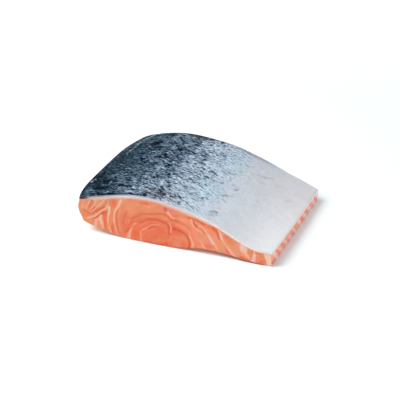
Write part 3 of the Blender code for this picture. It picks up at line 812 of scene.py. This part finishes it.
class Finish:
    """One material and the nodes of its shader."""

    def __init__(self, name, **constants):
        self.material = bpy.data.materials.new(name)
        self.material.use_nodes = True
        self.tree = self.material.node_tree
        self.feed(**constants)

    def feed(self, **values):
        """Sets or links the shader's sockets."""
        for label, value in values.items():
            self.fill(self.tree.nodes["Principled BSDF"].inputs[label.replace("_", " ")], value)
        return self.material

    def fill(self, socket, value):
        """Links a value to a socket, or sets the socket to a number, vector or colour."""
        if isinstance(value, Value):
            self.tree.links.new(value.socket, socket)
        else:
            socket.default_value = linear(value) if socket.type == "RGBA" else value

    def node(self, kind, sockets=(), output=0, stops=(), **settings):
        """Adds a node, sets it, fills its sockets by name or place and gives one of its outputs."""
        node = self.tree.nodes.new("ShaderNode" + kind)
        for label, value in settings.items():
            setattr(node, label, value)
        if stops:
            elements = node.color_ramp.elements
            while len(elements) < len(stops):
                elements.new(0.5)
            for element, (position, shade) in zip(elements, stops):
                element.position = position
                element.color = linear(shade)
        for place, value in sockets.items() if isinstance(sockets, dict) else enumerate(sockets):
            self.fill(node.inputs[place], value)
        return Value(self, node.outputs[output])

    def mark(self, label, output="Fac"):
        """A point attribute of the piece."""
        return self.node("Attribute", output=output, attribute_name=label)

    def place(self):
        """The place on the piece in millimetres."""
        return self.scaled(self.node("TexCoord", output="Object"), (1 / MM, 1 / MM, 1 / MM))

    def vector_maths(self, operation, *vectors, output=0):
        """One step of maths on vectors."""
        return self.node("VectorMath", vectors, output, operation=operation)

    def scaled(self, vector, factors):
        """A vector times a factor for each axis."""
        return self.vector_maths("MULTIPLY", vector, factors)

    def split(self, vector):
        """The three numbers of a vector."""
        outputs = self.node("SeparateXYZ", (vector,)).socket.node.outputs
        return [Value(self, socket) for socket in outputs]

    def joined(self, x, y, z):
        """The vector of three numbers."""
        return self.node("CombineXYZ", (x, y, z))

    def chance(self, vector, dimensions="3D"):
        """A random number from 0 to 1 for each vector."""
        return self.node("TexWhiteNoise", {"Vector": vector}, "Value", noise_dimensions=dimensions)

    def cloud(self, vector, size, detail=2.0, roughness=0.5):
        """Smooth noise about 0, roughly from -1 to 1, with lumps of a size in millimetres."""
        sockets = {"Vector": vector, "Scale": 1 / size, "Detail": detail, "Roughness": roughness}
        return (self.node("TexNoise", sockets, "Fac") - 0.5) * CLOUD_GAIN

    def specks(self, place, seed):
        """Scattered short dashes of random strength, at most one to each cell of a loose grid."""
        grid = self.scaled(place, (1 / SPECK_ACROSS, 1 / SPECK_ALONG, 0.0))
        grid = self.vector_maths("ADD", grid, (seed * 7.7, seed * 3.1, 0.0))
        middle = self.node("TexVoronoi", {"Vector": grid, "Scale": 1.0, "Randomness": 0.9}, "Position",
                           voronoi_dimensions="2D")
        off_x, off_y = self.split(self.vector_maths("SUBTRACT", grid, middle))[:2]
        reach = off_x * off_x * SPECK_NARROWNESS_ACROSS + off_y * off_y * SPECK_NARROWNESS_ALONG
        return (1 - self.step(reach, 0.1, 1.0)) * self.step(self.chance(middle, "2D"), 0.2, 0.9)

    def step(self, value, low, high):
        """0 below low and 1 above high, smooth between."""
        sockets = {"Value": value, "From Min": low, "From Max": high}
        return self.node("MapRange", sockets, "Result", interpolation_type="SMOOTHSTEP")

    def plateau(self, value, low, full, fade, gone):
        """0 outside a stretch, 1 on its middle, smooth at both ends."""
        return self.step(value, low, full) * (1 - self.step(value, fade, gone))

    def ramp(self, value, stops):
        """A colour or level that follows a value through its stops."""
        return self.node("ValToRGB", (value,), stops=stops)

    def mix(self, share, first, second, blend="MIX"):
        """Blends two colours by a share, which the node clamps."""
        sockets = dict(zip(MIX_INPUTS, (share, first, second)))
        return self.node("Mix", sockets, MIX_OUTPUT, data_type="RGBA", blend_type=blend)

    def sway(self, base, grain, rise, fall, above, below, start=0.0, blend="MIX"):
        """Draws a colour to one shade where a noise is high and to another where it is low."""
        base = self.mix(grain * rise - start, base, above, blend)
        return self.mix(grain * -fall - start, base, below, blend)

    def paint(self, base, *coats, blend="MIX"):
        """Lays the shades of marks over a colour, each with its strength."""
        for label, strength, shade in coats:
            base = self.mix(self.mark(label) * strength, base, shade, blend)
        return base

    def bump(self, height, distance):
        """A normal bent by a height."""
        return self.node("Bump", {"Height": height, "Distance": distance, "Strength": 1.0}, "Normal")


def flesh_finish():
    """Raw salmon flesh: orange pink with pale seams, fine fibres and a moist sheen."""
    look = Finish("raw_salmon_flesh", IOR=1.38, Specular_IOR_Level=0.4, Subsurface_Weight=0.12,
                  Subsurface_Scale=0.004, Subsurface_Radius=(1.0, 0.35, 0.2), Coat_Weight=0.1,
                  Coat_Roughness=0.25)
    place = look.place()
    x, y, z = look.split(place)
    belly = look.mark("belly")
    flake = look.mark("flake")
    lines = look.mark("lines")

    # Ground colour with broad patches and fine fibres
    base = look.ramp((x + HALF_WIDTH) / (2 * HALF_WIDTH), FLESH_SHADES)
    upper = look.mix(look.step(x, -54.0, -40.0), (194, 138, 106), (228, 157, 116))
    base = look.mix(look.step(z, 17.0, 35.0) * 0.5, base, upper)
    base = look.mix(belly, base, look.mix(look.step(y, -10.0, 60.0), (248, 178, 164), (254, 204, 198)))
    patchy = look.cloud(place, 9.0, 3.0)
    fibre = look.cloud(look.scaled(place, (1.0, 1.0, 0.45)), 1.1)
    streak = look.cloud(look.joined(flake * 3.2, x * 0.05, z * 0.05 + y * 0.02), 1.0, 3.0)
    base = look.sway(base, patchy, 0.4, 0.4, (240, 160, 120), (220, 106, 66))
    base = look.sway(base, fibre, 0.10, 0.12, (250, 176, 140), (214, 104, 68))
    base = look.sway(base, streak, 0.35, 0.35, (246, 166, 128), (214, 98, 58))

    # Seams, and painted shade on one side of each seam, where the flakes meet on the hidden faces
    off_seam = abs(flake - flake.rounded()) * look.mark("pitch") + look.cloud(place, 3.0) * 0.12
    shade = (1 - look.step(flake - flake.floor(), 0.0, 0.45)) * lines
    seam_width = look.cloud(place, 12.0, 1.0) * 0.5 + 1.4
    seam_strength = (look.cloud(place, 8.0, 1.0) * 0.5 + 0.75).clamped()
    seam = (1 - look.step(off_seam / seam_width, 0.3, 1.1)) * seam_strength * lines
    pale = look.mark("pale").high(seam * 0.85)
    deep = look.mark("deep").high(shade * 0.45)
    vary = look.cloud(place, 3.0)
    warm = look.cloud(place, 6.0) * lines
    base = look.sway(base, warm, 0.7, 0.7, (232, 104, 56), (228, 152, 104), start=0.15)
    rosy = look.cloud(look.scaled(place, (1.0, 1.0, 0.6)), 7.3) * lines
    base = look.mix(rosy * 0.5 - 0.1, base, (236, 130, 116))

    # Marks drawn on the near cut and the belly's side
    tan = look.mix(belly, (222, 150, 96), (246, 160, 104))
    base = look.paint(base, ("flush", 0.9, (248, 128, 102)), ("tan", 0.8, tan),
                      ("bright", 0.85, (252, 152, 118)), ("pink", 0.8, (230, 126, 120)))
    # Deep brownish orange beside the seams, partly painted shade where the flakes part
    base = look.mix(deep * (0.9 + vary * 0.15), base, (206, 80, 38))
    orange = look.mix(look.step(x, 36.0, 46.0), (236, 98, 46), (230, 126, 60))
    base = look.paint(base, ("orange", 0.85, orange), ("red", 0.85, (222, 54, 38)))
    pale_colour = look.mix(vary * 0.5 + 0.5, (250, 168, 130), (246, 192, 164))
    pale_colour = look.mix(belly * 0.85, pale_colour, (255, 218, 210))
    base = look.mix(pale * (0.88 + vary * 0.12), base, pale_colour)
    milk = look.mix(look.step(x, 83.6, 86.6), (232, 204, 196), (242, 212, 172))
    milk = look.mix(belly, milk, (252, 232, 226))
    # Milky and creamy streaks, then the dark red painted shadow along the foot
    base = look.paint(base, ("milk", 0.85, milk), ("cream", 0.85, (250, 206, 150)),
                      ("dark", 0.9, (128, 52, 36)))

    # Fat and sheath under the skin
    fat_colour = look.mix(vary * 0.5 + 0.5, (236, 184, 154), (222, 196, 188))
    fat_colour = look.mix(look.step(x, -6.0, 4.0) * 0.8, fat_colour, (238, 208, 186))
    base = look.mix(look.mark("fat") * (0.8 + vary * 0.2), base, fat_colour)
    base = look.paint(base, ("sheath", 0.6, look.mix(belly, (216, 204, 206), (252, 224, 200))))
    base = look.mix(1.0, base, look.mix(belly, FLESH_DIMMING, BELLY_DIMMING), "MULTIPLY")

    height = fibre * 0.35 + patchy * 0.25 - pale * 0.5 + look.cloud(place, 0.5) * 0.2
    roughness = (0.42 + look.cloud(place, 6.0) * 0.06).clamped()
    return look.feed(Base_Color=base, Roughness=roughness, Normal=look.bump(height, 0.0003))


def skin_finish():
    """Wet scaled skin, blue black at the back, speckled on the side and silver at the belly."""
    look = Finish("wet_scaled_skin", IOR=1.4, Specular_IOR_Level=0.012, Coat_Roughness=0.2)
    place = look.place()
    x, y, z = look.split(place)
    a, b = look.split(look.mark("scale_place", "Vector"))[:2]
    row, number, to_edge, local = scale_parts(a, b, Value.floor)
    own = look.chance(look.joined(row, number, 3.0))
    other = look.chance(look.joined(row, number, 7.0))
    leaning = look.joined(x - y * LEAN, y + x * LEAN, z)
    specks = look.specks(leaning, 1.0)
    glints = look.specks(leaning, 5.3)
    broad = look.cloud(place, 26.0)
    blotchy = look.cloud(place, 10.0)
    medium = look.cloud(look.scaled(leaning, (0.6, 1.0, 1.0)), 4.0)
    fine = look.cloud(look.scaled(leaning, (0.4, 1.0, 1.0)), 2.1, 1.5)

    # Tone from back to belly with the pattern of scales and dashes
    across = (x + broad * 4.0 + blotchy * 3.0 + HALF_WIDTH) / (2 * HALF_WIDTH)
    middle = 1 - local * local
    shown = look.step(own + broad * 0.1, 0.3, 0.75)
    edge = (1 - look.step(to_edge, 0.1, 0.6)) * shown * (0.3 + 0.7 * middle)
    sheen = look.plateau(to_edge, 0.5, 0.8, 1.0, 1.7) * middle
    dashes = look.step(fine + medium * 0.3, 0.1, 0.8)
    pattern = ((other - 0.5) * 0.3 - edge * 0.4 + sheen * 0.2 - specks * 1.2 + glints * 0.7 + medium * 0.4
               - fine * 0.35 - dashes * 1.3 + blotchy * 0.3 + 0.25)
    tone = look.ramp(across, SKIN_TONES) + look.ramp(across, SKIN_CONTRASTS) * pattern
    sure = own.high(look.step(x, 8.0, 16.0) * 0.6)
    # Dark blotches darken the tone; those on the far lip are painted shade
    tone = tone - look.mark("dark") * (0.16 + 0.3 * sure + fine * 0.08)
    # Lighter patches and painted glints, twice as strong at the back edge where most glints lie
    tone = tone + look.mark("light") * (0.1 + 0.25 * other) * (2.0 - look.step(x, -76.0, -66.0))
    # Painted highlight along the crease near the back
    tone = tone + look.mark("crease") * 0.25
    # Painted shade along the far lip of the skin; the silver side is also a little darker towards the far
    # edge
    far_lip_shade = look.step(y, 58.6, 61.2) * look.plateau(x, -36.0, -20.0, -8.0, 14.0)
    far_band = look.step(y, 47.0, 58.0) * look.plateau(x, 0.0, 14.0, 36.0, 72.0)
    tone = (tone - y * 0.0004 * look.step(x, 15.0, 60.0) - far_lip_shade * 0.14 - far_band * 0.03).clamped()

    # Colour of the tone, then tints
    shade = look.ramp(tone, SKIN_SHADES)
    cool = look.step(tone, 0.68, 0.84) * (1 - look.step(x, 14.0, 34.0))
    shade = look.mix(cool * 0.6, shade, (188, 208, 224))
    tint = look.cloud(place, 15.0, 1.0)
    shade = look.sway(shade, tint, 0.16, 0.16, (150, 190, 205), (120, 100, 110), blend="SOFT_LIGHT")
    # Brown blotches, laid over the painted shade of the far lip; near the far edge they turn dark brown,
    # partly painted shade
    brown = look.mark("brown")
    shade = look.mix(brown.high(far_lip_shade) * 0.6, shade, (146, 108, 84), "SOFT_LIGHT")
    shade = look.mix(brown * look.step(y, 50.0, 57.0) * 0.5, shade, (84, 70, 62))
    shade = look.paint(shade, ("violet", 0.3, (136, 108, 168)), ("teal", 0.3, (110, 190, 186)),
                       blend="SOFT_LIGHT")
    shade = look.mix(look.mark("streak") * (0.8 + fine * 0.6), shade, (92, 104, 116))
    greenish = (1 - look.step(x, -52.0, -36.0)) * (blotchy * 0.5 + 0.4).clamped()
    shade = look.mix(greenish * 0.35, shade, (118, 150, 120), "SOFT_LIGHT")
    rosy = look.step(x, 15.0, 55.0) * look.step(y, -30.0, 50.0)
    shade = look.mix(rosy * 0.8, shade, (255, 247, 243), "MULTIPLY")

    # Cut edge of the skin and its lip at the near cut
    cut = look.mix(look.step(x, -78.0, -68.0), (34, 30, 38), (196, 178, 172))
    cut = look.mix(look.step(x, -62.0, -46.0), cut, (212, 206, 214))
    cut = look.mix(look.step(x, 0.0, 40.0), cut, (234, 226, 216))
    cut = look.sway(cut, fine, 0.3, 0.3, (236, 230, 232), (170, 160, 166))
    cover = look.step(look.mark("rim") * 0.5 + look.mark("depth"), 0.5, 0.75)
    lip = look.mark("lip") * (0.55 - look.step(x, 28.0, 56.0) * 0.3)
    shade = look.mix(cover.high(lip), shade, cut)
    shade = look.mix(1.0, shade, SKIN_DIMMING, "MULTIPLY")

    height = fine * 0.5 + medium * 0.35 - edge * 0.6 - specks * 0.4
    height = height * (1 - look.step(x, 0.0, 34.0) * 0.6)
    roughness = (0.44 + fine * 0.06 - glints * 0.12).clamped()
    coat = (0.02 + look.step(x, -30.0, 30.0) * 0.06 + glints * 0.1).clamped()
    return look.feed(Base_Color=shade, Roughness=roughness, Coat_Weight=coat,
                     Normal=look.bump(height, 0.00018))


def floor_white():
    """A plain matt white with a faint glow, a little cooler close to the fillet."""
    look = Finish("floor_white", Roughness=0.8, Emission_Strength=FLOOR_FAR_GLOW)
    far = look.step(look.vector_maths("LENGTH", look.place(), output="Value"), *FLOOR_FAR)
    return look.feed(Base_Color=look.mix(far, FLOOR_COLOUR, FLOOR_FAR_COLOUR),
                     Emission_Color=look.mix(far, FLOOR_GLOW / FLOOR_FAR_GLOW, 1.0))


def add_floor():
    """A wide pale floor."""
    mesh = bmesh.new()
    bmesh.ops.create_grid(mesh, x_segments=1, y_segments=1, size=FLOOR_HALF_SIZE)
    floor = add_mesh("floor", mesh, floor_white())


def add_camera():
    """The camera at the photograph's angle."""
    data = bpy.data.cameras.new("camera")
    data.lens = CAMERA_LENS
    azimuth = radians(CAMERA_AZIMUTH)
    elevation = radians(CAMERA_ELEVATION)
    back = Vector((sin(azimuth) * cos(elevation), -cos(azimuth) * cos(elevation), sin(elevation)))
    camera = add_object("camera", data)
    camera.location = Vector(CAMERA_AIM) * MM + Vector((SHIFT_X * MM, 0, 0)) + back * CAMERA_DISTANCE
    camera.rotation_euler = back.to_track_quat("Z", "Y").to_euler()
    bpy.context.scene.camera = camera


def add_area(name, place, size, power):
    """A square soft light that faces the fillet."""
    data = bpy.data.lights.new(name, "AREA")
    data.size = size
    data.energy = power
    light = add_object(name, data)
    light.location = place
    light.rotation_euler = Vector(place).to_track_quat("Z", "Y").to_euler()


def add_light():
    """Soft studio light from all round, a large one at the upper left and a small low one at the right."""
    world = bpy.data.worlds.new("studio")
    world.use_nodes = True
    background = world.node_tree.nodes["Background"]
    background.inputs["Color"].default_value = linear(1.0)
    background.inputs["Strength"].default_value = DOME_STRENGTH
    bpy.context.scene.world = world
    add_area("key_light", *KEY_LIGHT)
    add_area("fill_light", *FILL_LIGHT)


def main():
    """Sets the stage and dresses both nodes."""
    bpy.context.scene.view_settings.view_transform = "Standard"
    add_camera()
    add_floor()
    add_light()
    flesh_piece(flesh_finish())
    skin_piece(skin_finish())


main()
